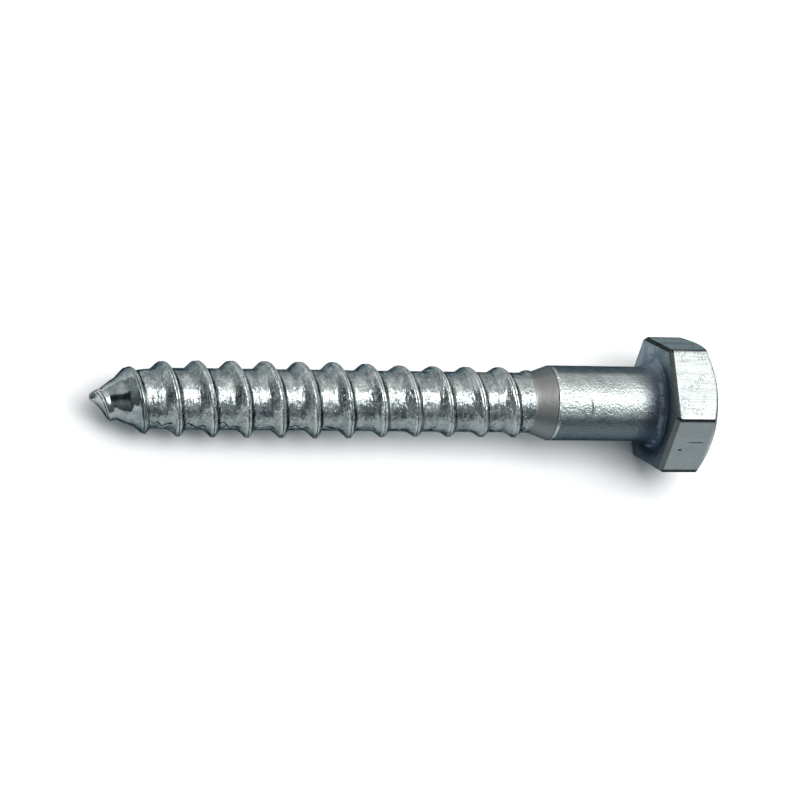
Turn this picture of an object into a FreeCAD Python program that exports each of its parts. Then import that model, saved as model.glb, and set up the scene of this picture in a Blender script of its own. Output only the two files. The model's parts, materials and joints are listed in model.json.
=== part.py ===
"""Hexagon-head coach screw, 8 x 60 mm, with a right-hand wood thread and a gimlet point.

The screw is one solid. It is drawn along +X with its point at x = 0 and its upper flat facing +Z,
then laid down as it rests on a floor: on the lower flat of its head and on one thread crest near
the point, with the floor at z = 0 and the point towards -X.
"""
import FreeCAD, Part
import math
import os
from FreeCAD import Vector

# Lengths along the screw, in millimetres from the point
length_under_head = 60.0
thread_end = 46.2
shoulder_length = 2.2
head_height = 5.2

# Diameters and widths
shank_diameter = 7.8
thread_diameter = 7.8
core_diameter = 6.2
head_across_flats = 13.0
head_top_diameter = 11.6

# Edges of the head
head_chamfer_angle = 30.0
head_corner_radius = 0.35
bearing_bevel_length = 0.5
bearing_bevel_depth = 0.28
neck_length = 1.9
neck_height = 1.0
neck_bend_share = 0.65

# Thread
thread_pitch = 3.57
crest_land = 0.3
tip_flank_length = 1.1
head_flank_length = 0.62
crest_side_crossing = 3.52

# The crest runs a little lower towards the shank
crest_drop = 0.27
crest_drop_start = 26.0
crest_drop_length = 7.0

# The thread fades away where it meets the shoulder
thread_fade_lead = 0.6
thread_fade_length = 1.4

# Gimlet point
crest_swell_length = 2.2
core_swell_length = 3.0
point_end_radius = 0.05
point_end_rounding = 0.6
point_set_back = 0.2

# Fineness of the curves and of the search for the resting contact
points_per_turn = 10
spare_points = 3
sewing_gap = 0.0001
contact_step = 0.005
hidden_share = 0.5

shank_radius = shank_diameter / 2
crest_radius = thread_diameter / 2
core_radius = core_diameter / 2
half_flats = head_across_flats / 2
tip_foot = -(crest_land / 2 + tip_flank_length)
head_foot = crest_land / 2 + head_flank_length

# Thread profile: place along the screw from the crest's middle, and share of the thread's depth
thread_profile = [
    (tip_foot, 0.0),
    (-crest_land / 2, 1.0),
    (crest_land / 2, 1.0),
    (head_foot, 0.0),
]

# The thread's turns run from a place off the very point to a place hidden inside the shank
turns_off_point = 1
first_turn = -turns_off_point - (crest_side_crossing + head_foot + thread_pitch) / thread_pitch
turn_count = turns_off_point + 2 + math.ceil((thread_end + shoulder_length) / thread_pitch)


def from_point(x):
    """Distance from the point that levels off softly beyond it, so that curves run on past the point."""
    beyond = x - point_set_back
    return (beyond + math.hypot(beyond, point_end_rounding)) / 2


def core_radius_at(x):
    """Radius of the thread's root: a cone at the point that levels off into the core."""
    share = math.tanh(from_point(x) / core_swell_length)
    return point_end_radius + (core_radius - point_end_radius) * share


def share_done(x, start, end):
    """How far x has come from start to end, from 0 to 1."""
    return min(max((x - start) / (end - start), 0.0), 1.0)


def crest_radius_at(x):
    """Radius of the thread's crest: it swells from the point and runs a little lower near the shank."""
    share = 1.0 - math.exp(-from_point(x) / crest_swell_length)
    radius = point_end_radius + (crest_radius - point_end_radius) * share
    return radius - crest_drop * share_done(x, crest_drop_start, crest_drop_start + crest_drop_length)


def depth_left_at(x):
    """Share of the thread's depth that is left at x, easing to nothing on the shoulder."""
    fade_start = thread_end - thread_fade_lead
    faded = share_done(x, fade_start, fade_start + thread_fade_length)
    return (1 + math.cos(math.pi * faded)) / 2


def thread_point(profile_index, turn):
    """Point on one edge of the thread, where a whole number of turns lies on the +Y side."""
    offset, depth_share = thread_profile[profile_index]
    x = crest_side_crossing + thread_pitch * turn + offset
    root = core_radius_at(x)
    depth = (crest_radius_at(x) - root) * depth_left_at(x)
    radius = root + depth_share * depth
    angle = 2 * math.pi * turn
    return Vector(x, radius * math.cos(angle), radius * math.sin(angle))


def thread_edges(profile_index, turns):
    """One edge of the thread as a smooth curve, cut into whole turns."""
    steps = range(-spare_points, turns * points_per_turn + spare_points + 1)
    places = [first_turn + step / points_per_turn for step in steps]
    curve = Part.BSplineCurve()
    curve.interpolate(Points=[thread_point(profile_index, place) for place in places], Parameters=places)
    edges = []
    for turn in range(turns):
        piece = curve.copy()
        piece.segment(first_turn + turn, first_turn + turn + 1)
        edges.append(piece.toShape())
    return edges


def strip(low_edge, high_edge):
    """Ruled face between two edges that run the same way."""
    same_way = 1
    return Part.makeRuledSurface(low_edge, high_edge, same_way)


def end_of_thread(helix_edge, profile_points):
    """Close one end of the thread with a winding floor and a flat wall, both reaching the axis."""
    low = profile_points[0]
    high = profile_points[-1]
    axis_low = Vector(low.x, 0, 0)
    axis_high = Vector(high.x, 0, 0)
    axis_edge = Part.makeLine(axis_low, axis_high)
    winding_floor = strip(helix_edge, axis_edge)
    outline = profile_points + [axis_high, axis_low]
    wall = Part.Face(Part.makePolygon(outline + [low]))
    return [winding_floor, wall]


def threaded_core():
    """The core and its thread as one solid, skinned strip by strip along the helix."""
    strips = len(thread_profile)
    edges = [thread_edges(0, turn_count + 1)]
    edges += [thread_edges(index, turn_count) for index in range(1, strips)]
    faces = []
    for turn in range(turn_count):
        around = [edges[index][turn] for index in range(strips)] + [edges[0][turn + 1]]
        faces += [strip(low, high) for low, high in zip(around, around[1:])]
    last_turn = first_turn + turn_count
    start_points = [thread_point(index, first_turn) for index in range(strips)]
    start_points.append(thread_point(0, first_turn + 1))
    end_points = [thread_point(index, last_turn) for index in range(strips)]
    end_points.append(thread_point(0, last_turn + 1))
    faces += end_of_thread(edges[0][0], start_points)
    faces += end_of_thread(edges[0][turn_count], end_points)
    skin = Part.Compound(faces)
    skin.sewShape(sewing_gap)
    solid = Part.Solid(skin.Shells[0])
    if solid.Volume < 0:
        solid.reverse()
    return solid


def turned(profile):
    """Solid of revolution about the screw's axis from a closed list of edges."""
    face = Part.Face(Part.Wire(profile))
    return face.revolve(Vector(0, 0, 0), Vector(1, 0, 0), 360)


def shank():
    """Conical shoulder, plain shank and the neck that widens under the head."""
    slope = (shank_radius - core_radius) / shoulder_length
    inner_radius = core_radius * hidden_share
    inner_start = thread_end - (core_radius - inner_radius) / slope
    inside_head = length_under_head + head_height * hidden_share
    neck_start = length_under_head - neck_length
    neck_bend = neck_start + neck_length * neck_bend_share
    cone_low = Vector(inner_start, inner_radius, 0)
    cone_high = Vector(thread_end + shoulder_length, shank_radius, 0)
    neck_low = Vector(neck_start, shank_radius, 0)
    neck_high = Vector(length_under_head, shank_radius + neck_height, 0)
    neck = Part.BezierCurve()
    neck.setPoles([neck_low, Vector(neck_bend, shank_radius, 0), neck_high])
    root = Vector(inside_head, shank_radius + neck_height, 0)
    root_axis = Vector(inside_head, 0, 0)
    cone_axis = Vector(inner_start, 0, 0)
    return turned([
        Part.makeLine(cone_axis, cone_low),
        Part.makeLine(cone_low, cone_high),
        Part.makeLine(cone_high, neck_low),
        neck.toShape(),
        Part.makeLine(neck_high, root),
        Part.makeLine(root, root_axis),
        Part.makeLine(root_axis, cone_axis),
    ])


def hexagon(x, half_width):
    """Hexagon outline with rounded corners across the axis at x, with two flats facing up and down."""
    corner_reach = (half_width - head_corner_radius) / math.cos(math.radians(30))
    arcs = []
    for corner in range(6):
        middle = math.radians(60 * corner)
        points = []
        for turn in (-30, 0, 30):
            angle = middle + math.radians(turn)
            y = corner_reach * math.cos(middle) + head_corner_radius * math.cos(angle)
            z = corner_reach * math.sin(middle) + head_corner_radius * math.sin(angle)
            points.append(Vector(x, y, z))
        arcs.append(points)
    edges = []
    for points, following in zip(arcs, arcs[1:] + arcs[:1]):
        edges.append(Part.Arc(*points).toShape())
        edges.append(Part.makeLine(points[2], following[0]))
    return Part.Wire(edges)


def head():
    """Hexagon head: bevelled round its bearing face and chamfered round its top."""
    top = length_under_head + head_height
    blank = Part.makeLoft([
        hexagon(length_under_head, half_flats - bearing_bevel_depth),
        hexagon(length_under_head + bearing_bevel_length, half_flats),
        hexagon(top, half_flats),
    ], True, True)
    outer_radius = head_across_flats
    top_radius = head_top_diameter / 2
    fall = (outer_radius - top_radius) * math.tan(math.radians(head_chamfer_angle))
    below = length_under_head - head_height
    corners = [
        Vector(below, 0, 0),
        Vector(below, outer_radius, 0),
        Vector(top - fall, outer_radius, 0),
        Vector(top, top_radius, 0),
        Vector(top, 0, 0),
    ]
    edges = [Part.makeLine(a, b) for a, b in zip(corners, corners[1:] + corners[:1])]
    return blank.common(turned(edges))


def resting_tilt():
    """Angle at which the point end meets the floor while the head's lower flat edge rests on it."""
    head_edge_x = length_under_head + bearing_bevel_length
    slopes = []
    crest_edges = [index for index, (offset, share) in enumerate(thread_profile) if share == 1.0]
    for crest_edge in crest_edges:
        turn = first_turn
        while turn < first_turn + turn_count:
            point = thread_point(crest_edge, turn)
            if 0 < point.x < thread_end:
                slopes.append((point.z + half_flats) / (head_edge_x - point.x))
            turn += contact_step
    return math.atan(min(slopes))


def laid_down(screw):
    """Tip the screw onto its resting contacts and bring them to z = 0, centred along X."""
    tilt = resting_tilt()
    screw.rotate(Vector(0, 0, 0), Vector(0, 1, 0), -math.degrees(tilt))
    head_edge_x = length_under_head + bearing_bevel_length
    lowest = head_edge_x * math.sin(tilt) - half_flats * math.cos(tilt)
    far_end = (length_under_head + head_height) * math.cos(tilt) + head_top_diameter / 2 * math.sin(tilt)
    screw.translate(Vector(-far_end / 2, 0, -lowest))
    return screw


def off_the_point():
    """Block in front of the point, which ends the core there with a small blunt face."""
    side = 2 * thread_diameter
    return Part.makeBox(length_under_head, side, side, Vector(-length_under_head, -side / 2, -side / 2))


def coach_screw():
    """The whole screw in one solid, lying at rest."""
    body = shank().fuse(head())
    whole = body.fuse(threaded_core().cut(off_the_point()))
    return laid_down(whole.Solids[0])


os.makedirs("parts", exist_ok=True)
coach_screw().exportStep("parts/coach_screw.step")
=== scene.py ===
"""A coach screw of zinc-plated steel, lying at rest on a pale floor under a soft overhead panel."""
import json
import logging
import math
from dataclasses import dataclass, field, fields
from enum import Enum

import bmesh
import bpy
import numpy as np
from mathutils import Euler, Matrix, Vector, noise

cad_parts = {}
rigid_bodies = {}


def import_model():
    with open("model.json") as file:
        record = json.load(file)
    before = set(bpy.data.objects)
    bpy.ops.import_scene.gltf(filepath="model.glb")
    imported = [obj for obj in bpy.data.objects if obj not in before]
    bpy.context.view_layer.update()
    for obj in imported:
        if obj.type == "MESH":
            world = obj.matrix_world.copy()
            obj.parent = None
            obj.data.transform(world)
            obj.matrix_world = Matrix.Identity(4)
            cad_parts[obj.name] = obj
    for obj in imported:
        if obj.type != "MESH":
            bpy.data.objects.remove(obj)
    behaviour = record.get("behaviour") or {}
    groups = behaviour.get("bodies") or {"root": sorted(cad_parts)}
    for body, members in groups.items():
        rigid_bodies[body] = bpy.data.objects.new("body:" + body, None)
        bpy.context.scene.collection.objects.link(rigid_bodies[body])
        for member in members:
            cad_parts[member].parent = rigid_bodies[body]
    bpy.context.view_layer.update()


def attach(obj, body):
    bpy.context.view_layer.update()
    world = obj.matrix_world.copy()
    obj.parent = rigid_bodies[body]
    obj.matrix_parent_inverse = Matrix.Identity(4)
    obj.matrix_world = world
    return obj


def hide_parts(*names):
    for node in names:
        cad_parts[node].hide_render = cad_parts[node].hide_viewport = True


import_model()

MM = 0.001
LOG = logging.getLogger("coach_screw")

Colour = tuple[float, float, float, float]
Place = tuple[float, float, float]
Span = tuple[float, float]
Socket = bpy.types.NodeSocket

# Driving sizes in millimetres, with places along the screw measured from its very point
CREST_RADIUS = 3.9
CREST_LOWERS = (26.0, 33.0)
CORE_RADIUS = 3.1
THREAD_END = 46.2
SHOULDER_END = 48.4
SHANK_RADIUS = 3.9
NECK_HEIGHT = 1.0
UNDER_HEAD = 60.0
HEAD_HEIGHT = 5.2
HALF_FLATS = 6.5


def share_done(along: np.ndarray, span: Span) -> np.ndarray:
    """How far each place has come over a span, from 0 to 1."""
    return np.clip((along - span[0]) / (span[1] - span[0]), 0.0, 1.0)


class Region(Enum):
    """Which finish a stretch of the screw's surface takes."""

    ROLLED = 0
    PLAIN = 1
    FORGED = 2


@dataclass(frozen=True)
class Ripple:
    """Soft noise on the screw's skin, with its fineness along and across the screw and a start of its own."""

    along: float
    across: float
    shift: float = 0.0

    def at(self, place: float, turn: float, radius: float) -> float:
        """Noise at one point of the skin.

        Args:
            place: place along the screw.
            turn: angle round the screw.
            radius: distance from the screw's axis.

        Returns:
            The noise, from -1 to 1.
        """
        side = Vector((math.cos(turn), math.sin(turn), 0.0)) * radius
        start = place * self.along + self.shift
        return noise.noise(Vector((start, side.x * self.across, side.y * self.across)))


@dataclass
class Profile:
    """One line from the point's middle to the head's middle, as rows across every column of the mesh.

    Rows hold, for each column, a place along the screw and the two places across it, in millimetres.
    """

    columns: int
    rows: list[np.ndarray] = field(default_factory=list)
    regions: list[Region] = field(default_factory=list)

    def angles(self) -> np.ndarray:
        """Angle of each column round the screw, with the last column back on the first."""
        return 2 * math.pi * np.arange(self.columns + 1) / self.columns

    def circle(self) -> np.ndarray:
        """The two places across the screw of each column, one millimetre off the axis."""
        return np.column_stack([np.cos(self.angles()), np.sin(self.angles())])

    def add(self, along: float | np.ndarray, across: np.ndarray, region: Region) -> None:
        """Add one row of points.

        Args:
            along: place along the screw, one number or one for each column.
            across: the two places across the screw, one pair for each column.
            region: the finish of the strip that ends in this row.
        """
        self.rows.append(np.column_stack([np.broadcast_to(along, self.columns + 1), across]))
        self.regions.append(region)

    def ring(self, along: float | np.ndarray, radius: float | np.ndarray, region: Region) -> None:
        """Add a round row.

        Args:
            along: place of the ring along the screw.
            radius: its radius, one number or one for each column.
            region: the finish of the strip that ends in this row.
        """
        self.add(along, self.circle() * np.reshape(radius, (-1, 1)), region)


@dataclass
class RolledThread:
    """The gimlet point and the right-hand wood thread, rolled down to a core below the shank.

    The section gives places along the screw off the crest's middle, with the share of the thread's depth.
    """

    pitch: float = 3.57
    crossing: float = 3.52
    crest_radius: float = CREST_RADIUS
    crest_land: float = 0.3
    core_radius: float = CORE_RADIUS
    first_turn: int = -3
    run_out: float = SHOULDER_END + 0.3
    shoulder_blend: float = 0.06

    # Gimlet point
    crest_swell: float = 2.2
    core_swell: float = 3.0
    end_radius: float = 0.05
    end_rounding: float = 0.6
    set_back: float = 0.2
    blunt_rings: tuple[Span, ...] = ((-0.06, 0.0), (-0.055, 0.45), (-0.03, 0.82))

    # Lower crests towards the shank, and their end on the shoulder
    drop: float = 0.27
    drop_over: Span = CREST_LOWERS
    fade_over: Span = (THREAD_END - 0.6, THREAD_END + 0.8)

    # Marks of the rolling
    ripple: Ripple = Ripple(2.4, 0.9)
    ripple_height: float = 0.022
    fine_ripple: Ripple = Ripple(4.6, 2.0, 7.0)
    fine_height: float = 0.01
    nicks: Ripple = Ripple(0.9, 1.7, 3.0)
    nick_depth: float = 0.07
    nick_least: float = 0.12
    nick_foot: float = 0.6
    marks_grow: float = 4.0

    section: tuple[Span, ...] = (
        (-1.25, 0.0), (-1.12, 0.03), (-0.97, 0.12), (-0.79, 0.29), (-0.6, 0.49), (-0.43, 0.68),
        (-0.3, 0.84), (-0.22, 0.95), (-0.16, 1.0), (-0.09, 0.98), (-0.025, 0.84), (0.04, 0.97),
        (0.1, 1.0), (0.17, 0.95), (0.26, 0.83), (0.37, 0.62), (0.49, 0.38), (0.61, 0.17),
        (0.71, 0.05), (0.82, 0.0), (1.05, 0.0), (1.3, 0.0), (1.56, 0.0), (1.82, 0.0), (2.08, 0.0),
    )

    def from_point(self, along: np.ndarray) -> np.ndarray:
        """Distance from the point that levels off softly beyond it."""
        beyond = along - self.set_back
        return (beyond + np.hypot(beyond, self.end_rounding)) / 2

    def core_at(self, along: np.ndarray) -> np.ndarray:
        """Radius of the thread's root at each place along the screw."""
        share = np.tanh(self.from_point(along) / self.core_swell)
        return self.end_radius + (self.core_radius - self.end_radius) * share

    def crest_at(self, along: np.ndarray) -> np.ndarray:
        """Radius of the thread's crest at each place along the screw.

        Args:
            along: places along the screw.

        Returns:
            The radius at each place, which eases into the root on the shoulder.
        """
        share = 1.0 - np.exp(-self.from_point(along) / self.crest_swell)
        radius = self.end_radius + (self.crest_radius - self.end_radius) * share
        radius = radius - self.drop * share_done(along, self.drop_over)
        fade = share_done(along, self.fade_over)
        root = self.core_at(along)
        return root + (radius - root) * (1.0 + np.cos(math.pi * fade)) / 2

    def height_at(self, along: np.ndarray, angle: np.ndarray) -> np.ndarray:
        """Share of the thread's depth, 0 on the root and 1 on the crest.

        Args:
            along: places along the screw.
            angle: angle of each place round the screw.

        Returns:
            The share at each place.
        """
        turns = (along - self.crossing) / self.pitch - angle / (2 * math.pi)
        offset = (turns - np.floor(turns)) * self.pitch
        places, shares = np.array(sorted((place % self.pitch, share) for place, share in self.section)).T
        return np.interp(offset, places, shares, period=self.pitch)

    def radius_at(self, along: np.ndarray, angle: np.ndarray, shank: "PlainShank") -> np.ndarray:
        """Radius of the rolled surface, where the thread runs out into the shank's shoulder.

        Args:
            along: places along the screw.
            angle: angle of each place round the screw.
            shank: the shank, which gives the shoulder.

        Returns:
            The radius at each place.
        """
        share = self.height_at(along, angle)
        root = self.core_at(along)
        radius = root + share * (self.crest_at(along) - root)
        radius = radius + self.marks(along, angle, share)
        shoulder = shank.shoulder_at(along)
        blended = (radius + shoulder + np.hypot(radius - shoulder, self.shoulder_blend)) / 2
        return np.minimum(blended, np.maximum(shank.radius, radius))

    def marks(self, along: np.ndarray, angle: np.ndarray, share: np.ndarray) -> np.ndarray:
        """Rolling marks: ripples on the root and nicks on the crest.

        Args:
            along: places along the screw.
            angle: angle of each place round the screw.
            share: share of the thread's depth at each place.

        Returns:
            Change of radius at each place.
        """
        marks = []
        for place, turn, height in zip(along.tolist(), angle.tolist(), share.tolist()):
            ripple = self.ripple.at(place, turn, self.core_radius)
            fine = self.fine_ripple.at(place, turn, self.core_radius)
            nick = self.nicks.at(place, turn, self.core_radius)
            raised = (1.0 - height) * (self.ripple_height * ripple + self.fine_height * fine)
            on_crest = max(0.0, height - self.nick_foot) / (1.0 - self.nick_foot)
            marks.append(raised - on_crest * self.nick_depth * max(0.0, nick - self.nick_least))
        return np.array(marks) * np.clip(along / self.marks_grow, 0.0, 1.0)

    def build(self, profile: Profile, shank: "PlainShank") -> None:
        """Add the rows of the point and the thread, which climb one pitch in each turn.

        Args:
            profile: the rows so far.
            shank: the shank, which gives the shoulder.
        """
        angle = profile.angles()
        start = self.radius_at(np.zeros(angle.shape), angle, shank)
        for along, share in self.blunt_rings:
            profile.ring(along, start * share, Region.ROLLED)
        climb = self.pitch * angle / (2 * math.pi)
        turn = self.first_turn
        while self.crossing + self.pitch * turn + self.section[0][0] < self.run_out:
            for offset, _ in self.section:
                along = np.clip(self.crossing + self.pitch * turn + offset + climb, 0.0, self.run_out)
                if along.max() > 0.0 and along.min() < self.run_out:
                    profile.ring(along, self.radius_at(along, angle, shank), Region.ROLLED)
            turn += 1
        profile.ring(self.run_out, shank.radius, Region.ROLLED)


@dataclass
class PlainShank:
    """The conical shoulder, the plain shank and the neck that widens under the head.

    Rows stand closer around the nick; the fine and coarse rows are given by their places off it.
    """

    radius: float = SHANK_RADIUS
    shoulder_start: float = THREAD_END
    shoulder_length: float = SHOULDER_END - THREAD_END
    shoulder_radius: float = CORE_RADIUS
    head_side: float = UNDER_HEAD
    neck_length: float = 1.9
    neck_height: float = NECK_HEIGHT
    neck_bend: float = 0.65
    neck_rows: int = 10

    # Waves, the nick and its burr
    waves: Ripple = Ripple(0.8, 1.0)
    wave_height: float = 0.006
    nick_place: float = 51.95
    nick_angle: float = 117.0
    nick_reach: float = 19.0
    nick_fade: float = 1.2
    nick_bow: float = 0.3
    nick_width: float = 0.1
    nick_depth: float = 0.045
    burr_offset: float = 0.24
    burr_width: float = 0.12
    burr_height: float = 0.08

    # Rows of the mesh
    first_row: float = 0.25
    coarse_step: float = 0.45
    coarse_rows: Span = (-0.7, 0.8)
    fine_step: float = 0.06
    fine_rows: Span = (-0.6, 0.6)

    def shoulder_at(self, along: np.ndarray) -> np.ndarray:
        """Radius of the shoulder's cone, carried on past both its ends."""
        slope = (self.radius - self.shoulder_radius) / self.shoulder_length
        return self.shoulder_radius + slope * (along - self.shoulder_start)

    def surface(self, along: float, angle: np.ndarray) -> np.ndarray:
        """Radius of the plain shank, with faint waves and one curved nick beside its burr.

        Args:
            along: place along the screw.
            angle: angle of each column.

        Returns:
            The radius at each column.
        """
        waves = np.array([self.waves.at(along, turn, self.radius) for turn in angle])
        off = (np.degrees(angle) - self.nick_angle + 180.0) % 360.0 - 180.0
        curve = self.nick_place - self.nick_bow * (off / self.nick_reach) ** 2
        shown = np.clip(self.nick_fade - np.abs(off) / self.nick_reach, 0.0, 1.0)
        nick = np.exp(-((along - curve) / self.nick_width) ** 2)
        burr = np.exp(-((along - curve - self.burr_offset) / self.burr_width) ** 2)
        mark = shown * (self.burr_height * burr - self.nick_depth * nick)
        return self.radius + self.wave_height * waves + mark

    def build(self, profile: Profile, start: float) -> None:
        """Add the rows of the shank and the neck.

        Args:
            profile: the rows so far.
            start: place where the thread's rows end.
        """
        angle = profile.angles()
        neck_start = self.head_side - self.neck_length
        before, after = (self.nick_place + off for off in self.coarse_rows)
        first_fine, last_fine = (self.nick_place + off for off in self.fine_rows)
        places = [
            *np.arange(start + self.first_row, before, self.coarse_step),
            *np.arange(first_fine, last_fine, self.fine_step),
            *np.arange(after, neck_start, self.coarse_step),
        ]
        for place in places:
            profile.ring(place, self.surface(place, angle), Region.PLAIN)
        bend = neck_start + self.neck_length * self.neck_bend
        for share in np.arange(self.neck_rows + 1) / self.neck_rows:
            along = (1 - share) ** 2 * neck_start + 2 * share * (1 - share) * bend + share**2 * self.head_side
            profile.ring(along, self.radius + self.neck_height * share**2, Region.PLAIN)


@dataclass
class HexagonHead:
    """The hexagon head with its bevelled bearing face, rounded corners and 30 degree chamfer.

    The shares place the rows of each face from its one edge to the other, closer together at the edges. The
    rings of the top give a radius and how far the top has sunk there.
    """

    half_flats: float = HALF_FLATS
    height: float = HEAD_HEIGHT
    start: float = UNDER_HEAD
    neck_radius: float = SHANK_RADIUS + NECK_HEIGHT
    bevel_length: float = 0.5
    bevel_depth: float = 0.28
    sides: int = 6
    corner_radius: float = 0.35
    corner_columns: int = 4
    crowding: float = 0.35
    top_radius: float = 5.8
    chamfer_degrees: float = 30.0

    # Rows of the mesh
    face_shares: tuple[float, ...] = (0.03, 0.2, 0.45, 0.7, 0.9, 0.975)
    face_lift: float = 0.015
    bevel_shares: tuple[float, ...] = (0.15, 0.5, 0.88)
    bevel_gap: float = 0.04
    flat_shares: tuple[float, ...] = (0.0, 0.04, 0.2, 0.4, 0.6, 0.8, 0.95, 1.0)
    flat_gap: float = 0.05
    chamfer_shares: tuple[float, ...] = (0.015, 0.08, 0.35, 0.65, 0.93, 0.985)
    chamfer_sink: float = 0.012
    top_rings: tuple[Span, ...] = (
        (5.76, 0.008), (5.65, 0.0), (4.6, 0.0), (3.3, 0.006), (2.0, 0.012), (0.8, 0.016), (0.0, 0.018),
    )

    def outline(self, profile: Profile, half_width: float) -> np.ndarray:
        """Rounded hexagon, with more columns close to its corners.

        Args:
            profile: the rows so far, which give the number of columns.
            half_width: half the distance across the flats.

        Returns:
            The two places across the screw of each column's point.
        """
        per_side = profile.columns // self.sides
        flat_columns = per_side - 2 * self.corner_columns
        lean = 180 / self.sides
        reach = (half_width - self.corner_radius) / math.cos(math.radians(lean))
        points = []
        for column in range(profile.columns + 1):
            side, step = divmod(column, per_side)
            even = (step - self.corner_columns) / flat_columns
            if even <= 0:
                points.append(self.corner(reach, side, lean * step / self.corner_columns))
            elif even >= 1:
                points.append(self.corner(reach, side + 1, lean * (step - per_side) / self.corner_columns))
            else:
                crowded = 0.5 - 0.5 * math.cos(math.pi * even)
                share = self.crowding * crowded + (1 - self.crowding) * even
                first = self.corner(reach, side, lean)
                last = self.corner(reach, side + 1, -lean)
                points.append(first + share * (last - first))
        return np.array(points)

    def corner(self, reach: float, number: int, lean: float) -> np.ndarray:
        """Point on one rounded corner.

        Args:
            reach: distance of the corner's centre from the axis.
            number: which corner.
            lean: angle from the corner's middle, in degrees.

        Returns:
            The point's two places across the screw.
        """
        middle = math.radians(360 / self.sides * number)
        angle = middle + math.radians(lean)
        return np.array([
            reach * math.cos(middle) + self.corner_radius * math.cos(angle),
            reach * math.sin(middle) + self.corner_radius * math.sin(angle),
        ])

    def build(self, profile: Profile) -> None:
        """Add the rows of the bearing face, the flats, the chamfer and the top.

        Args:
            profile: the rows so far.
        """
        neck = profile.circle() * self.neck_radius
        lower = self.outline(profile, self.half_flats - self.bevel_depth)
        full = self.outline(profile, self.half_flats)
        for share in self.face_shares:
            profile.add(self.start, neck + share * (lower - neck), Region.PLAIN)
        profile.add(self.start + self.face_lift, lower, Region.FORGED)
        for share in self.bevel_shares:
            profile.add(self.start + self.bevel_length * share, lower + share * (full - lower), Region.FORGED)
        length = np.hypot(full[:, 0], full[:, 1])
        slope = math.tan(math.radians(self.chamfer_degrees))
        top = self.start + self.height
        edge = top - (length - self.top_radius) * slope
        begin = self.start + self.bevel_length + self.bevel_gap
        for share in self.flat_shares:
            profile.add(begin + share * (edge - self.flat_gap - begin), full, Region.FORGED)
        direction = full / length[:, None]
        for share in self.chamfer_shares:
            reach = length + share * (self.top_radius - length)
            along = top - (reach - self.top_radius) * slope - self.chamfer_sink
            profile.add(along, direction * reach[:, None], Region.FORGED)
        for radius, sunk in self.top_rings:
            profile.add(top - sunk, direction * radius, Region.FORGED)


@dataclass(frozen=True)
class Cloud:
    """Soft noise in a shader.

    The scale is clouds in a millimetre and the detail is octaves of finer clouds. As a mask, the noise rises
    from the least value to 1 over the span that is given.
    """

    scale: float
    detail: float
    span: Span = (0.0, 1.0)
    least: float = 0.0


@dataclass(frozen=True)
class Dent:
    """Small dent in a flat of the head, in millimetres, longer along the screw where its shrink is small."""

    middle: Place
    shrink: float
    size: float


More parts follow.
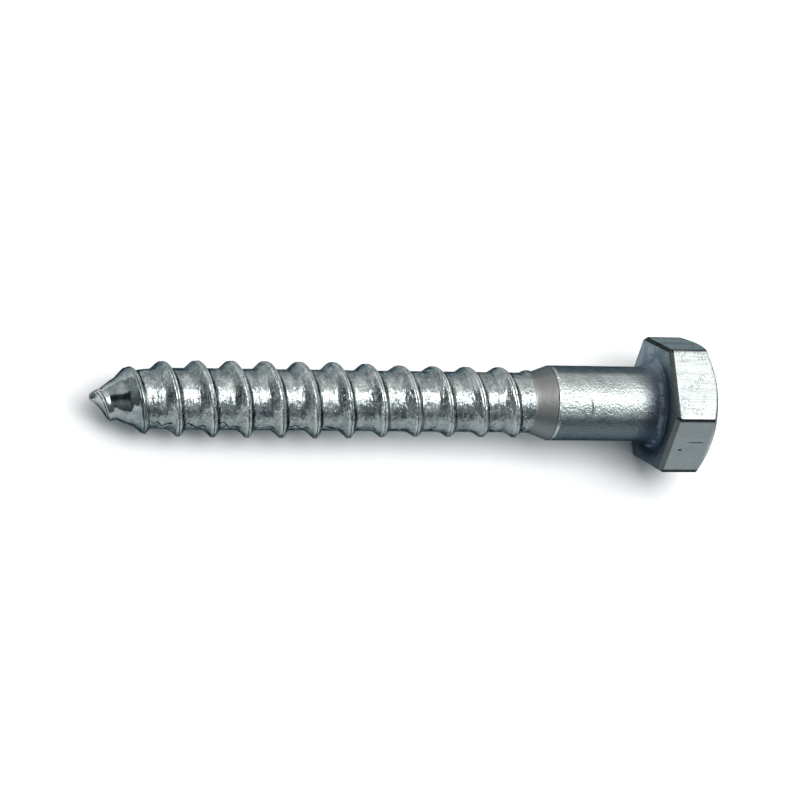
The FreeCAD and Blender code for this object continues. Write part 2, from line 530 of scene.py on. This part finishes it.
@dataclass
class NodeBench:
    """Adds nodes to one tree and joins them. A term is a socket or a plain value."""

    tree: bpy.types.NodeTree

    def add(self, kind: str, **values: object) -> bpy.types.Node:
        """Add a node and set its plain properties.

        Args:
            kind: the node's type.
            values: properties by name.

        Returns:
            The node.
        """
        node = self.tree.nodes.new(kind)
        for name, value in values.items():
            setattr(node, name, value)
        return node

    def join(self, term: object, socket: Socket) -> None:
        """Link a term to an input, or set it there if it is a plain value.

        Args:
            term: the term.
            socket: the input.
        """
        if isinstance(term, bpy.types.NodeSocket):
            self.tree.links.new(term, socket)
        else:
            socket.default_value = term

    def maths(self, operation: str, *terms: object) -> Socket:
        """One kind of sum over two or more terms, from left to right.

        Args:
            operation: the sum's name.
            terms: the terms.

        Returns:
            The result.
        """
        result = terms[0]
        for term in terms[1:]:
            node = self.add("ShaderNodeMath", operation=operation)
            self.join(result, node.inputs[0])
            self.join(term, node.inputs[1])
            result = node.outputs[0]
        return result

    def times(self, *terms: object) -> Socket:
        """Product of the terms."""
        return self.maths("MULTIPLY", *terms)

    def plus(self, *terms: object) -> Socket:
        """Sum of the terms."""
        return self.maths("ADD", *terms)

    def minus(self, first: object, last: object) -> Socket:
        """What is left of the first term without the last."""
        return self.maths("SUBTRACT", first, last)

    def off(self, value: object, middle: object) -> Socket:
        """Distance of a value from a middle value.

        Args:
            value: the value.
            middle: the middle value.

        Returns:
            The distance, never below zero.
        """
        node = self.add("ShaderNodeMath", operation="ABSOLUTE")
        self.join(self.minus(value, middle), node.inputs[0])
        return node.outputs[0]

    def vectors(self, operation: str, first: object, last: object) -> Socket:
        """One sum on two vectors.

        Args:
            operation: the sum's name.
            first: the first term.
            last: the last term.

        Returns:
            The resulting vector.
        """
        node = self.add("ShaderNodeVectorMath", operation=operation)
        self.join(first, node.inputs[0])
        self.join(last, node.inputs[1])
        return node.outputs["Vector"]

    def spread(self, value: Socket, span: Span, to_low: object = 0.0, to_high: object = 1.0) -> Socket:
        """Carry a span of a value onto another range, softly and clamped.

        Args:
            value: the value.
            span: start and end of its span.
            to_low: result at the start.
            to_high: result at the end.

        Returns:
            The result.
        """
        node = self.add("ShaderNodeMapRange", interpolation_type="SMOOTHSTEP")
        names = ("Value", "From Min", "From Max", "To Min", "To Max")
        for name, term in zip(names, (value, *span, to_low, to_high)):
            self.join(term, node.inputs[name])
        return node.outputs["Result"]

    def noise(self, place: Socket, cloud: Cloud) -> Socket:
        """Soft noise from 0 to 1 over the surface.

        Args:
            place: the place on the surface.
            cloud: the kind of noise.

        Returns:
            The noise.
        """
        node = self.add("ShaderNodeTexNoise")
        for name, term in (("Vector", place), ("Scale", cloud.scale), ("Detail", cloud.detail)):
            self.join(term, node.inputs[name])
        return node.outputs["Fac"]

    def mask(self, place: Socket, cloud: Cloud) -> Socket:
        """Patches of soft noise with their edges drawn in."""
        return self.spread(self.noise(place, cloud), cloud.span, cloud.least)

    def mix(self, share: Socket, first: object, last: object) -> Socket:
        """Blend two colours.

        Args:
            share: how much of the last colour shows.
            first: the first colour.
            last: the last colour.

        Returns:
            The blended colour.
        """
        node = self.add("ShaderNodeMix", data_type="RGBA")
        first_colour, last_colour = (socket for socket in node.inputs if socket.type == "RGBA")
        self.join(share, node.inputs["Factor"])
        self.join(first, first_colour)
        self.join(last, last_colour)
        return next(socket for socket in node.outputs if socket.type == "RGBA")


@dataclass
class PlatingSurface(NodeBench):
    """Shared shader group of the plating, worked out from the place on the screw in millimetres.

    Everywhere it gives flecks, stretched grain, pits and patchy gloss, and painted shade, dark and bluish, on
    both sides. The finishes turn on what belongs to one place: crests paler from rubbing wear and a painted
    highlight, the crease along the thread's root and the matt band at its end, painted shade on the neck with
    a painted pale ring and haze of reflection, and the head's dents and specks with painted shade on its
    bevel and corners. Cuts are darkened with painted shade. Spans are
    where a mask begins and ends: along the screw, off its axis, or off a line.
    """

    group_inputs: tuple[tuple[str, str], ...] = (
        ("Place", "Vector"), ("Stretch", "Vector"), ("Fleck Size", "Float"), ("Fleck Height", "Float"),
        ("Grain Height", "Float"), ("Pit Depth", "Float"), ("Pale", "Color"), ("Dull", "Color"),
        ("Roughness Low", "Float"), ("Roughness High", "Float"), ("Neck Shade", "Float"),
        ("Matt Share", "Float"), ("Blue Near", "Float"), ("Near Start", "Float"), ("Blue Far", "Float"),
        ("Seam", "Float"), ("Crest Polish", "Float"), ("Head Marks", "Float"),
    )
    group_outputs: tuple[tuple[str, str], ...] = (
        ("Color", "Color"), ("Roughness", "Float"), ("Height", "Float"),
    )

    # Everywhere
    grain: Cloud = Cloud(1.6, 3.0)
    flecks: Cloud = Cloud(1.0, 2.0)
    pits: Cloud = Cloud(2.6, 1.0, (0.6, 0.68))
    patches: Cloud = Cloud(0.6, 3.0)
    patch_share: float = 0.6
    fleck_share: float = 0.4
    pale_patches: Span = (0.42, 0.58)
    rough_patches: Span = (0.35, 0.7)
    matt_roughness: float = 0.5

    # Point, and crests paler from rubbing wear and a painted highlight
    point_end: Span = (4.6, 5.6)
    point_relief: float = 0.12
    point_roughness: float = 0.5
    crest_lowers: Span = CREST_LOWERS
    crest_foot: Span = (CREST_RADIUS - 0.23, CREST_RADIUS - 0.4)
    crest_rise: Span = (0.0, 0.1)
    crest_colour: Colour = (0.68, 0.71, 0.7, 1.0)

    # Crease along the root
    seam_angle: float = 2.2
    seam_drift: float = 0.011
    seam_sway: Cloud = Cloud(0.8, 1.5)
    seam_swing: float = 1.15
    seam_width: Span = (0.04, 0.13)
    seam_gaps: Cloud = Cloud(0.37, 0.0, (0.28, 0.38))
    seam_rise: Span = (CORE_RADIUS + 0.15, CORE_RADIUS + 0.3)
    seam_start: Span = (5.0, 7.5)

    # Matt band and the step at its end
    band_start: Span = (THREAD_END - 0.3, THREAD_END + 0.1)
    band_end: Span = (SHOULDER_END - 0.15, SHOULDER_END)
    band_colour: Colour = (0.255, 0.258, 0.25, 1.0)
    band_relief: float = 0.1
    step_place: float = SHOULDER_END - 0.06
    step_width: Span = (0.03, 0.11)
    step_depth: float = 0.7

    # Painted shade, dark and bluish, on the near and far sides
    near_side: Span = (-0.2, 0.0)
    far_side: Span = (0.46, 0.64)
    tint_end: Span = (UNDER_HEAD + HEAD_HEIGHT - 0.9, UNDER_HEAD + HEAD_HEIGHT - 0.4)
    tint_colour: Colour = (0.09, 0.12, 0.135, 1.0)

    # Painted shade on the neck and bearing face, with a painted pale ring and a painted haze of reflection
    neck_start: Span = (UNDER_HEAD - 3.0, UNDER_HEAD - 0.8)
    face_reach: Span = (SHANK_RADIUS + 0.8, HALF_FLATS - 0.1)
    neck_colour: Colour = (0.03, 0.045, 0.07, 1.0)
    face_colour: Colour = (0.15, 0.19, 0.225, 1.0)
    haze: Cloud = Cloud(0.8, 2.0, (0.4, 0.62), 0.6)
    haze_side: Span = (0.5, 6.0)
    haze_colour: Colour = (0.36, 0.43, 0.47, 1.0)
    ring_radius: float = SHANK_RADIUS + 0.5
    ring_width: Span = (0.02, 0.27)
    ring_share: float = 0.6
    ring_gaps: Cloud = Cloud(0.7, 2.0, (0.4, 0.6))
    ring_colour: Colour = (0.22, 0.275, 0.32, 1.0)

    # Head: painted shade on the bevel and the corners, and specks
    upper_flat: Span = (HALF_FLATS - 0.1, HALF_FLATS - 0.03)
    bevel_end: Span = (UNDER_HEAD + 0.44, UNDER_HEAD + 0.52)
    bevel_share: float = 0.95
    bevel_colour: Colour = (0.08, 0.088, 0.086, 1.0)
    corner_reach: Span = (HALF_FLATS + 0.74, HALF_FLATS + 0.86)
    corner_share: float = 0.95
    corner_colour: Colour = (0.02, 0.024, 0.026, 1.0)
    specks: Cloud = Cloud(5.2, 1.0, (0.5, 0.62))
    speck_fields: Cloud = Cloud(0.55, 1.0, (0.4, 0.56))
    speck_colour: Colour = (0.22, 0.235, 0.235, 1.0)

    # Dents, and what they share with the other cuts, whose colour is darkened as painted shade
    dents: tuple[Dent, ...] = (
        Dent((UNDER_HEAD + 1.5, -5.9, 2.78), 0.8, 0.19),
        Dent((UNDER_HEAD + 3.0, -5.38, 3.68), 0.06, 0.075),
        Dent((UNDER_HEAD + 3.6, 4.95, 4.42), 1.2, 0.32),
    )
    dent_floor: float = 0.5
    cut_depth: float = 2.0
    cut_share: float = 0.9
    cut_colour: Colour = (0.012, 0.014, 0.016, 1.0)

    # What the masks start from
    given: dict[str, Socket] = field(init=False)
    axes: dict[str, Socket] = field(init=False)
    radius: Socket = field(init=False)
    off_top: Socket = field(init=False)

    def __post_init__(self) -> None:
        """Make the group's sockets, and split the place into axes and distance from the screw's axis."""
        for way, sockets in (("INPUT", self.group_inputs), ("OUTPUT", self.group_outputs)):
            for name, kind in sockets:
                self.tree.interface.new_socket(name=name, in_out=way, socket_type="NodeSocket" + kind)
        self.given = dict(self.add("NodeGroupInput").outputs.items())
        parts = self.add("ShaderNodeSeparateXYZ")
        self.join(self.given["Place"], parts.inputs[0])
        self.axes = dict(parts.outputs.items())
        squares = [self.maths("POWER", self.axes[axis], 2.0) for axis in ("Y", "Z")]
        self.radius = self.maths("POWER", self.plus(*squares), 0.5)
        self.off_top = self.spread(self.axes["Z"], self.upper_flat, 1.0, 0.0)

    def along(self, span: Span, to_low: object = 0.0, to_high: object = 1.0) -> Socket:
        """Mask that changes over a span along the screw."""
        return self.spread(self.axes["X"], span, to_low, to_high)

    def seam(self) -> Socket:
        """Broken, winding crease that the rolling leaves along the thread's root.

        Returns:
            The crease's mask.
        """
        angle = self.maths("ARCTAN2", self.axes["Z"], self.axes["Y"])
        line = self.add("ShaderNodeCombineXYZ")
        self.join(self.axes["X"], line.inputs["X"])
        line = line.outputs["Vector"]
        sway = self.times(self.noise(line, self.seam_sway), self.seam_swing)
        drift = self.times(self.axes["X"], self.seam_drift)
        reach = self.times(self.off(angle, self.plus(sway, drift, self.seam_angle)), self.radius)
        crease = self.spread(reach, self.seam_width, 1.0, 0.0)
        rooted = self.spread(self.radius, self.seam_rise, 1.0, 0.0)
        return self.times(crease, self.mask(line, self.seam_gaps), rooted, self.along(self.seam_start))

    def dented(self) -> Socket:
        """Few small dents on the head's flats, each drawn out along the screw.

        Returns:
            The dents' mask.
        """
        masks = []
        for dent in self.dents:
            away = self.vectors("SUBTRACT", self.given["Place"], dent.middle)
            length = self.add("ShaderNodeVectorMath", operation="LENGTH")
            self.join(self.vectors("MULTIPLY", away, (dent.shrink, 1.0, 1.0)), length.inputs[0])
            edge = (self.dent_floor * dent.size, dent.size)
            masks.append(self.spread(length.outputs["Value"], edge, 1.0, 0.0))
        return self.maths("MAXIMUM", *masks)

    def cuts(self) -> Socket:
        """What is cut into the surface: the crease, the step at the end of the matt band and the dents,
        darkened in colour as painted shade.

        Returns:
            The cuts' mask.
        """
        step = self.spread(self.off(self.axes["X"], self.step_place), self.step_width, self.step_depth, 0.0)
        return self.plus(
            self.times(self.seam(), self.given["Seam"]),
            self.times(step, self.given["Matt Share"]),
            self.times(self.dented(), self.given["Head Marks"]),
        )

    def height(self, grain: Socket, flecks: Socket, cuts: Socket, matt: Socket) -> Socket:
        """Height of the surface, calmer on the point and on the matt band.

        Args:
            grain: the stretched grain.
            flecks: the flecks.
            cuts: the cuts' mask.
            matt: the matt band's mask.

        Returns:
            The height.
        """
        flecks = self.times(flecks, self.given["Fleck Height"])
        grain = self.times(grain, self.given["Grain Height"])
        pits = self.times(self.mask(self.given["Place"], self.pits), self.given["Pit Depth"])
        sunk = self.minus(self.minus(self.plus(flecks, grain), pits), self.times(cuts, self.cut_depth))
        off_band = self.spread(matt, (0.0, 1.0), 1.0, self.band_relief)
        return self.times(sunk, off_band, self.along(self.point_end, self.point_relief))

    def tint(self) -> Socket:
        """Painted shade, dark and bluish, on the near and the far side, off the head's upper flat and its
        top.

        Returns:
            The painted shade's mask.
        """
        lean = self.maths("DIVIDE", self.axes["Y"], self.radius)
        near = self.spread(self.minus(lean, self.given["Near Start"]), self.near_side, 1.0, 0.0)
        near = self.times(near, self.off_top, self.along(self.tint_end, 1.0, 0.0), self.given["Blue Near"])
        return self.plus(near, self.times(self.spread(lean, self.far_side), self.given["Blue Far"]))

    def underside(self) -> Socket:
        """Painted shade on the neck and the bearing face, with a painted pale broken ring and a painted haze
        of reflection on the far side.

        Returns:
            The colour.
        """
        place = self.given["Place"]
        dark = self.mix(self.spread(self.radius, self.face_reach), self.neck_colour, self.face_colour)
        haze = self.times(self.mask(place, self.haze), self.spread(self.axes["Y"], self.haze_side))
        ring = self.spread(self.off(self.radius, self.ring_radius), self.ring_width, self.ring_share, 0.0)
        ring = self.times(ring, self.mask(place, self.ring_gaps))
        return self.mix(ring, self.mix(haze, dark, self.haze_colour), self.ring_colour)

    def colour(self, mottle: Socket, cuts: Socket, matt: Socket, shade: Socket) -> Socket:
        """Colour of the surface, laid on in layers.

        Args:
            mottle: patches and flecks together.
            cuts: the cuts' mask.
            matt: the matt band's mask.
            shade: the mask of the painted shade on the neck and the bearing face.

        Returns:
            The colour.
        """
        place = self.given["Place"]
        marks = self.given["Head Marks"]
        foot = self.along(self.crest_lowers, *self.crest_foot)
        rubbed_and_sheen = self.spread(self.minus(self.radius, foot), self.crest_rise)
        bevel = self.along(self.bevel_end, self.bevel_share, 0.0)
        corners = self.times(self.spread(self.radius, self.corner_reach), self.off_top)
        specks = self.times(self.mask(place, self.specks), self.mask(place, self.speck_fields))
        layers = (
            # paler crests: rubbing wear and a painted highlight
            (self.times(rubbed_and_sheen, self.given["Crest Polish"]), self.crest_colour),
            (matt, self.band_colour),
            # painted shade, dark and bluish, on the near and far sides
            (self.tint(), self.tint_colour),
            # painted shade on the head's bevel
            (self.times(bevel, marks), self.bevel_colour),
            # painted shade along the head's rounded corners
            (self.times(corners, marks, self.corner_share), self.corner_colour),
            (self.times(specks, self.minus(1.0, self.off_top), marks), self.speck_colour),
            # painted shade in the crease, the step and the dents
            (self.times(cuts, self.cut_share), self.cut_colour),
            # painted shade on the neck and bearing face, with painted reflections
            (shade, self.underside()),
        )
        colour = self.mix(self.spread(mottle, self.pale_patches), self.given["Dull"], self.given["Pale"])
        for mask, layer in layers:
            colour = self.mix(mask, colour, layer)
        return colour

    def roughness(self, patches: Socket, matt: Socket, shade: Socket) -> Socket:
        """Patchy gloss, sleeker on the point and matt on the band and the neck.

        Args:
            patches: the patches.
            matt: the matt band's mask.
            shade: the mask of the neck and the bearing face.

        Returns:
            The roughness.
        """
        low, high = self.given["Roughness Low"], self.given["Roughness High"]
        patchy = self.spread(patches, self.rough_patches, low, high)
        rough = self.times(patchy, self.along(self.point_end, self.point_roughness))
        return self.spread(self.maths("MAXIMUM", matt, shade), (0.0, 1.0), rough, self.matt_roughness)

    def build(self) -> bpy.types.NodeTree:
        """Build the group once.

        Returns:
            The group, whose outputs are a colour, a roughness and a height.
        """
        stretched = self.vectors("MULTIPLY", self.given["Place"], self.given["Stretch"])
        shrunk = self.vectors("DIVIDE", self.given["Place"], self.given["Fleck Size"])
        flecks = self.noise(shrunk, self.flecks)
        patches = self.noise(stretched, self.patches)
        mottle = self.plus(self.times(patches, self.patch_share), self.times(flecks, self.fleck_share))
        band = self.times(self.along(self.band_start), self.along(self.band_end, 1.0, 0.0))
        matt = self.times(band, self.given["Matt Share"])
        shade = self.times(self.along(self.neck_start), self.given["Neck Shade"])
        cuts = self.cuts()
        result = self.add("NodeGroupOutput").inputs
        self.join(self.colour(mottle, cuts, matt, shade), result["Color"])
        self.join(self.roughness(patches, matt, shade), result["Roughness"])
        self.join(self.height(self.noise(stretched, self.grain), flecks, cuts, matt), result["Height"])
        return self.tree


@dataclass(frozen=True)
class ZincFinish:
    """Bright zinc plating over one kind of steel surface.

    The relief is how high a height of 1 stands, in millimetres. What belongs to one place is turned on from 0
    to 1. The fields have the names of the shared group's inputs.
    """

    name: str

    # Metal
    pale: Colour = (0.46, 0.49, 0.475, 1.0)
    dull: Colour = (0.27, 0.3, 0.305, 1.0)
    edge_tint: Colour = (0.06, 0.11, 0.13, 1.0)
    roughness_low: float = 0.17
    roughness_high: float = 0.34

    # Flecks, grain and pits
    stretch: Place = (1.0, 1.0, 1.0)
    fleck_size: float = 0.35
    fleck_height: float = 0.5
    grain_height: float = 0.5
    pit_depth: float = 0.3
    relief: float = 0.05

    # What belongs to one place
    neck_shade: float = 0.0
    matt_share: float = 0.0
    # How much painted shade, dark and bluish, falls on the near and far sides
    blue_near: float = 0.0
    near_start: float = -0.55
    blue_far: float = 0.0
    seam: float = 0.0
    # Paler crests, from rubbing wear and a painted highlight
    crest_polish: float = 0.0
    # The head's dents and specks, with painted shade on its bevel and corners
    head_marks: float = 0.0

    def settings(self) -> dict[str, object]:
        """Gather what the finish sets on the shared group.

        Returns:
            The values, by the names of the group's inputs.
        """
        values = {each.name.replace("_", " ").title(): getattr(self, each.name) for each in fields(self)}
        return {name: values[name] for name, _ in PlatingSurface.group_inputs if name in values}

    def material(self, plating: bpy.types.NodeTree, tilt: float, origin: Vector) -> bpy.types.Material:
        """Make the finish as a material.

        Args:
            plating: the shared node group of the plating's surface.
            tilt: angle at which the screw lies, in radians.
            origin: place of the very point's middle in the frame.

        Returns:
            The material.
        """
        material = bpy.data.materials.new(self.name)
        material.use_nodes = True
        bench = NodeBench(material.node_tree)
        turn = bench.add("ShaderNodeMapping", vector_type="TEXTURE")
        bench.join(bench.add("ShaderNodeTexCoord").outputs["Object"], turn.inputs["Vector"])
        bench.join(origin, turn.inputs["Location"])
        bench.join((0.0, -tilt, 0.0), turn.inputs["Rotation"])
        bench.join((MM, MM, MM), turn.inputs["Scale"])
        surface = bench.add("ShaderNodeGroup", node_tree=plating)
        bench.join(turn.outputs["Vector"], surface.inputs["Place"])
        for name, value in self.settings().items():
            bench.join(value, surface.inputs[name])
        relief = bench.add("ShaderNodeBump")
        bench.join(self.relief * MM, relief.inputs["Distance"])
        bench.join(surface.outputs["Height"], relief.inputs["Height"])
        shader = bench.tree.nodes["Principled BSDF"].inputs
        bench.join(1.0, shader["Metallic"])
        bench.join(self.edge_tint, shader["Specular Tint"])
        bench.join(surface.outputs["Color"], shader["Base Color"])
        bench.join(surface.outputs["Roughness"], shader["Roughness"])
        bench.join(relief.outputs["Normal"], shader["Normal"])
        return material


@dataclass
class CoachScrew:
    """The whole screw as one closed mesh, laid down on the lower flat of its head and a thread crest."""

    thread: RolledThread = field(default_factory=RolledThread)
    shank: PlainShank = field(default_factory=PlainShank)
    head: HexagonHead = field(default_factory=HexagonHead)
    columns: int = 180
    merge_gap: float = 0.0003
    sharp_degrees: float = 50.0
    contact_step: float = 0.005
    tilt: float = field(init=False)

    def __post_init__(self) -> None:
        """Work out how the screw lies."""
        self.tilt = self.resting_tilt()

    def resting_tilt(self) -> float:
        """Angle at which a crest near the point meets the floor, with the head's lower flat edge on it.

        Returns:
            The angle, in radians.
        """
        thread = self.thread
        head = self.head
        along = np.arange(0.0, self.shank.shoulder_start, self.contact_step)
        slopes = []
        for edge in (-thread.crest_land / 2, thread.crest_land / 2):
            turns = (along - edge - thread.crossing) / thread.pitch
            height = thread.crest_at(along) * np.sin(2 * math.pi * turns)
            slopes.append((height + head.half_flats) / (head.start + head.bevel_length - along))
        return math.atan(np.min(slopes))

    def finishes(self) -> dict[Region, ZincFinish]:
        """Give each stretch of the surface its finish.

        Returns:
            The finishes.
        """
        return {
            # Each finish sets how much painted shade falls on its sides; the rolled one also gets paler
            # crests from wear and a painted highlight
            Region.ROLLED: ZincFinish(
                "rolled_zinc", stretch=(2.0, 0.55, 0.55), fleck_size=0.42, fleck_height=0.9, grain_height=3.3,
                pit_depth=0.6, matt_share=1.0, blue_near=0.5, blue_far=0.5, seam=1.0, crest_polish=0.7,
            ),
            Region.PLAIN: ZincFinish(
                "shank_zinc", pale=(0.45, 0.485, 0.475, 1.0), dull=(0.35, 0.38, 0.375, 1.0),
                stretch=(1.2, 1.2, 1.2), fleck_size=0.24, fleck_height=1.6, grain_height=0.5,
                roughness_low=0.34, roughness_high=0.46, neck_shade=0.9, blue_near=0.9, blue_far=0.85,
            ),
            Region.FORGED: ZincFinish(
                "forged_zinc", pale=(0.46, 0.49, 0.485, 1.0), dull=(0.4, 0.43, 0.425, 1.0),
                stretch=(0.12, 2.6, 2.6), fleck_size=0.5, fleck_height=0.1, grain_height=0.2,
                roughness_low=0.3, roughness_high=0.4, pit_depth=0.05, blue_near=0.61, near_start=-0.3,
                head_marks=1.0,
            ),
        }

    def laid_down(self, points: np.ndarray) -> np.ndarray:
        """Tip the screw onto its resting contacts, with the floor at zero, in metres.

        Args:
            points: places in the screw's own axes, in millimetres, with the axis through zero.

        Returns:
            The places in the frame.
        """
        head = self.head
        sine = math.sin(self.tilt)
        cosine = math.cos(self.tilt)
        lowest = (head.start + head.bevel_length) * sine - head.half_flats * cosine
        far_end = (head.start + head.height) * cosine + head.top_radius * sine
        along = points[:, 0] * cosine - points[:, 2] * sine - far_end / 2
        up = points[:, 0] * sine + points[:, 2] * cosine - lowest
        return np.column_stack([along, points[:, 1], up]) * MM

    def origin(self) -> Vector:
        """Place of the very point's middle in the frame."""
        return Vector(self.laid_down(np.zeros((1, 3)))[0])

    def mesh(self) -> bpy.types.Mesh:
        """Build the closed mesh with its three finishes told apart.

        Returns:
            The mesh.
        """
        profile = Profile(self.columns)
        self.thread.build(profile, self.shank)
        self.shank.build(profile, self.thread.run_out)
        self.head.build(profile)
        wide = self.columns + 1
        faces = []
        finishes = []
        for row, region in enumerate(profile.regions[1:]):
            for low in range(row * wide, row * wide + self.columns):
                faces.append((low, low + wide, low + wide + 1, low + 1))
                finishes.append(region.value)
        mesh = bpy.data.meshes.new("coach_screw_body")
        mesh.from_pydata(self.laid_down(np.concatenate(profile.rows)).tolist(), [], faces)
        mesh.polygons.foreach_set("material_index", finishes)
        self.close(mesh)
        mesh.set_sharp_from_angle(angle=math.radians(self.sharp_degrees))
        return mesh

    def close(self, mesh: bpy.types.Mesh) -> None:
        """Join the mesh to itself along its seam and its ends, and smooth it.

        Args:
            mesh: the mesh, whose points still lie twice there.
        """
        body = bmesh.new()
        body.from_mesh(mesh)
        bmesh.ops.remove_doubles(body, verts=body.verts, dist=self.merge_gap * MM)
        bmesh.ops.dissolve_degenerate(body, edges=body.edges, dist=self.merge_gap * MM)
        bmesh.ops.holes_fill(body, edges=[edge for edge in body.edges if edge.is_boundary])
        bmesh.ops.recalc_face_normals(body, faces=body.faces)
        for face in body.faces:
            face.smooth = True
        body.to_mesh(mesh)
        open_edges = sum(1 for edge in body.edges if len(edge.link_faces) != 2)
        body.free()
        LOG.info("coach_screw_body: %d faces, %d open edges", len(mesh.polygons), open_edges)

    def build(self) -> bpy.types.Object:
        """Build the screw, dress it and hand it to the frame.

        Returns:
            The finished object.
        """
        piece = bpy.data.objects.new("coach_screw_body", self.mesh())
        bpy.context.scene.collection.objects.link(piece)
        plating = PlatingSurface(bpy.data.node_groups.new("plating_surface", "ShaderNodeTree")).build()
        finishes = self.finishes()
        for region in Region:
            piece.data.materials.append(finishes[region].material(plating, self.tilt, self.origin()))
        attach(piece, "root")
        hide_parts("coach_screw")
        return piece


@dataclass(frozen=True)
class Tone:
    """Brightness of the surroundings along one axis, over a span of it, with its values at both ends."""

    axis: str
    span: Span
    values: Span


@dataclass
class Studio:
    """Pale floor, soft overhead panel, soft surroundings and the camera, in metres.

    The sky is the product of its tones. So is the flag, a dark card in it that the point mirrors.
    """

    # Floor
    floor_size: float = 1.6
    floor_colour: Colour = (0.95, 0.95, 0.95, 1.0)
    floor_roughness: float = 0.9

    # Panel
    panel_direction: Place = (0.26, -0.055, 0.96)
    panel_distance: float = 0.5
    panel_width: float = 0.3
    panel_depth: float = 0.6
    panel_power: float = 2.35

    # Surroundings
    sky: tuple[Tone, ...] = (
        Tone("Z", (-0.1, 0.7), (0.42, 1.0)),
        Tone("Y", (-0.75, 0.3), (0.35, 1.0)),
        Tone("X", (-0.95, -0.1), (0.55, 1.0)),
    )
    flag: tuple[Tone, ...] = (
        Tone("X", (-0.3, -0.22), (1.0, 0.0)),
        Tone("Y", (0.08, 0.15), (1.0, 0.0)),
        Tone("Y", (-0.6, -0.3), (0.0, 1.0)),
        Tone("Z", (0.25, 0.4), (0.0, 1.0)),
    )
    flag_depth: float = 0.93
    middle_tone: float = 0.4
    middle_colour: Colour = (0.36, 0.41, 0.44, 1.0)
    black: Colour = (0.0, 0.0, 0.0, 1.0)
    white: Colour = (1.0, 1.0, 1.0, 1.0)

    # Camera
    camera_place: Place = (-0.116325, -0.098115, 0.297909)
    camera_turn: Place = (19.1492, -20.0132, -5.1444)
    lens: float = 145.006
    sensor: float = 36.0
    sight: Span = (0.01, 20.0)

    def place(self, name: str, data: bpy.types.ID) -> bpy.types.Object:
        """Put a new object into the scene.

        Args:
            name: its name.
            data: its mesh, lamp or camera.

        Returns:
            The object.
        """
        thing = bpy.data.objects.new(name, data)
        bpy.context.scene.collection.objects.link(thing)
        return thing

    def floor(self) -> None:
        """Lay the floor and colour it."""
        half = self.floor_size / 2
        mesh = bpy.data.meshes.new("floor")
        corners = [(-half, -half, 0.0), (half, -half, 0.0), (half, half, 0.0), (-half, half, 0.0)]
        mesh.from_pydata(corners, [], [(0, 1, 2, 3)])
        floor = self.place("floor", mesh)
        material = bpy.data.materials.new("pale_floor")
        material.use_nodes = True
        shader = material.node_tree.nodes["Principled BSDF"]
        shader.inputs["Base Color"].default_value = self.floor_colour
        shader.inputs["Roughness"].default_value = self.floor_roughness
        shader.inputs["Specular IOR Level"].default_value = 0.0
        mesh.materials.append(material)

    def panel(self) -> None:
        """Hang the soft panel over the screw."""
        data = bpy.data.lights.new("overhead_panel", "AREA")
        data.shape = "RECTANGLE"
        data.size = self.panel_width
        data.size_y = self.panel_depth
        data.energy = self.panel_power
        lamp = self.place("overhead_panel", data)
        direction = Vector(self.panel_direction).normalized()
        lamp.location = direction * self.panel_distance
        lamp.rotation_euler = direction.to_track_quat("Z", "Y").to_euler()

    def surroundings(self) -> None:
        """Give the world soft tones, pale above the far side and darker low down, with the dark flag."""
        world = bpy.data.worlds.new("studio")
        bpy.context.scene.world = world
        world.use_nodes = True
        bench = NodeBench(world.node_tree)
        parts = bench.add("ShaderNodeSeparateXYZ")
        bench.join(bench.add("ShaderNodeTexCoord").outputs["Generated"], parts.inputs[0])
        sky, flag = (
            bench.times(*[bench.spread(parts.outputs[tone.axis], tone.span, *tone.values) for tone in tones])
            for tones in (self.sky, self.flag)
        )
        tone = bench.times(sky, bench.minus(1.0, bench.times(flag, self.flag_depth)))
        ramp = bench.add("ShaderNodeValToRGB")
        ramp.color_ramp.elements[0].color = self.black
        ramp.color_ramp.elements[1].color = self.white
        ramp.color_ramp.elements.new(self.middle_tone).color = self.middle_colour
        bench.join(tone, ramp.inputs["Fac"])
        bench.join(ramp.outputs["Color"], bench.tree.nodes["Background"].inputs["Color"])
        bench.join(1.0, bench.tree.nodes["Background"].inputs["Strength"])

    def camera(self) -> None:
        """Set the camera where the picture was taken from."""
        data = bpy.data.cameras.new("camera")
        data.lens = self.lens
        data.sensor_width = self.sensor
        data.clip_start, data.clip_end = self.sight
        camera = self.place("camera", data)
        camera.location = self.camera_place
        camera.rotation_euler = Euler([math.radians(turn) for turn in self.camera_turn], "XYZ")
        bpy.context.scene.camera = camera

    def build(self) -> None:
        """Set up everything round the screw."""
        bpy.context.scene.view_settings.view_transform = "Standard"
        self.camera()
        self.floor()
        self.panel()
        self.surroundings()
        LOG.info("studio: floor, panel, surroundings and camera")


def main() -> None:
    """Build the studio and the screw."""
    logging.basicConfig(level=logging.INFO, format="%(name)s: %(message)s")
    Studio().build()
    CoachScrew().build()


if __name__ == "__main__":
    main()
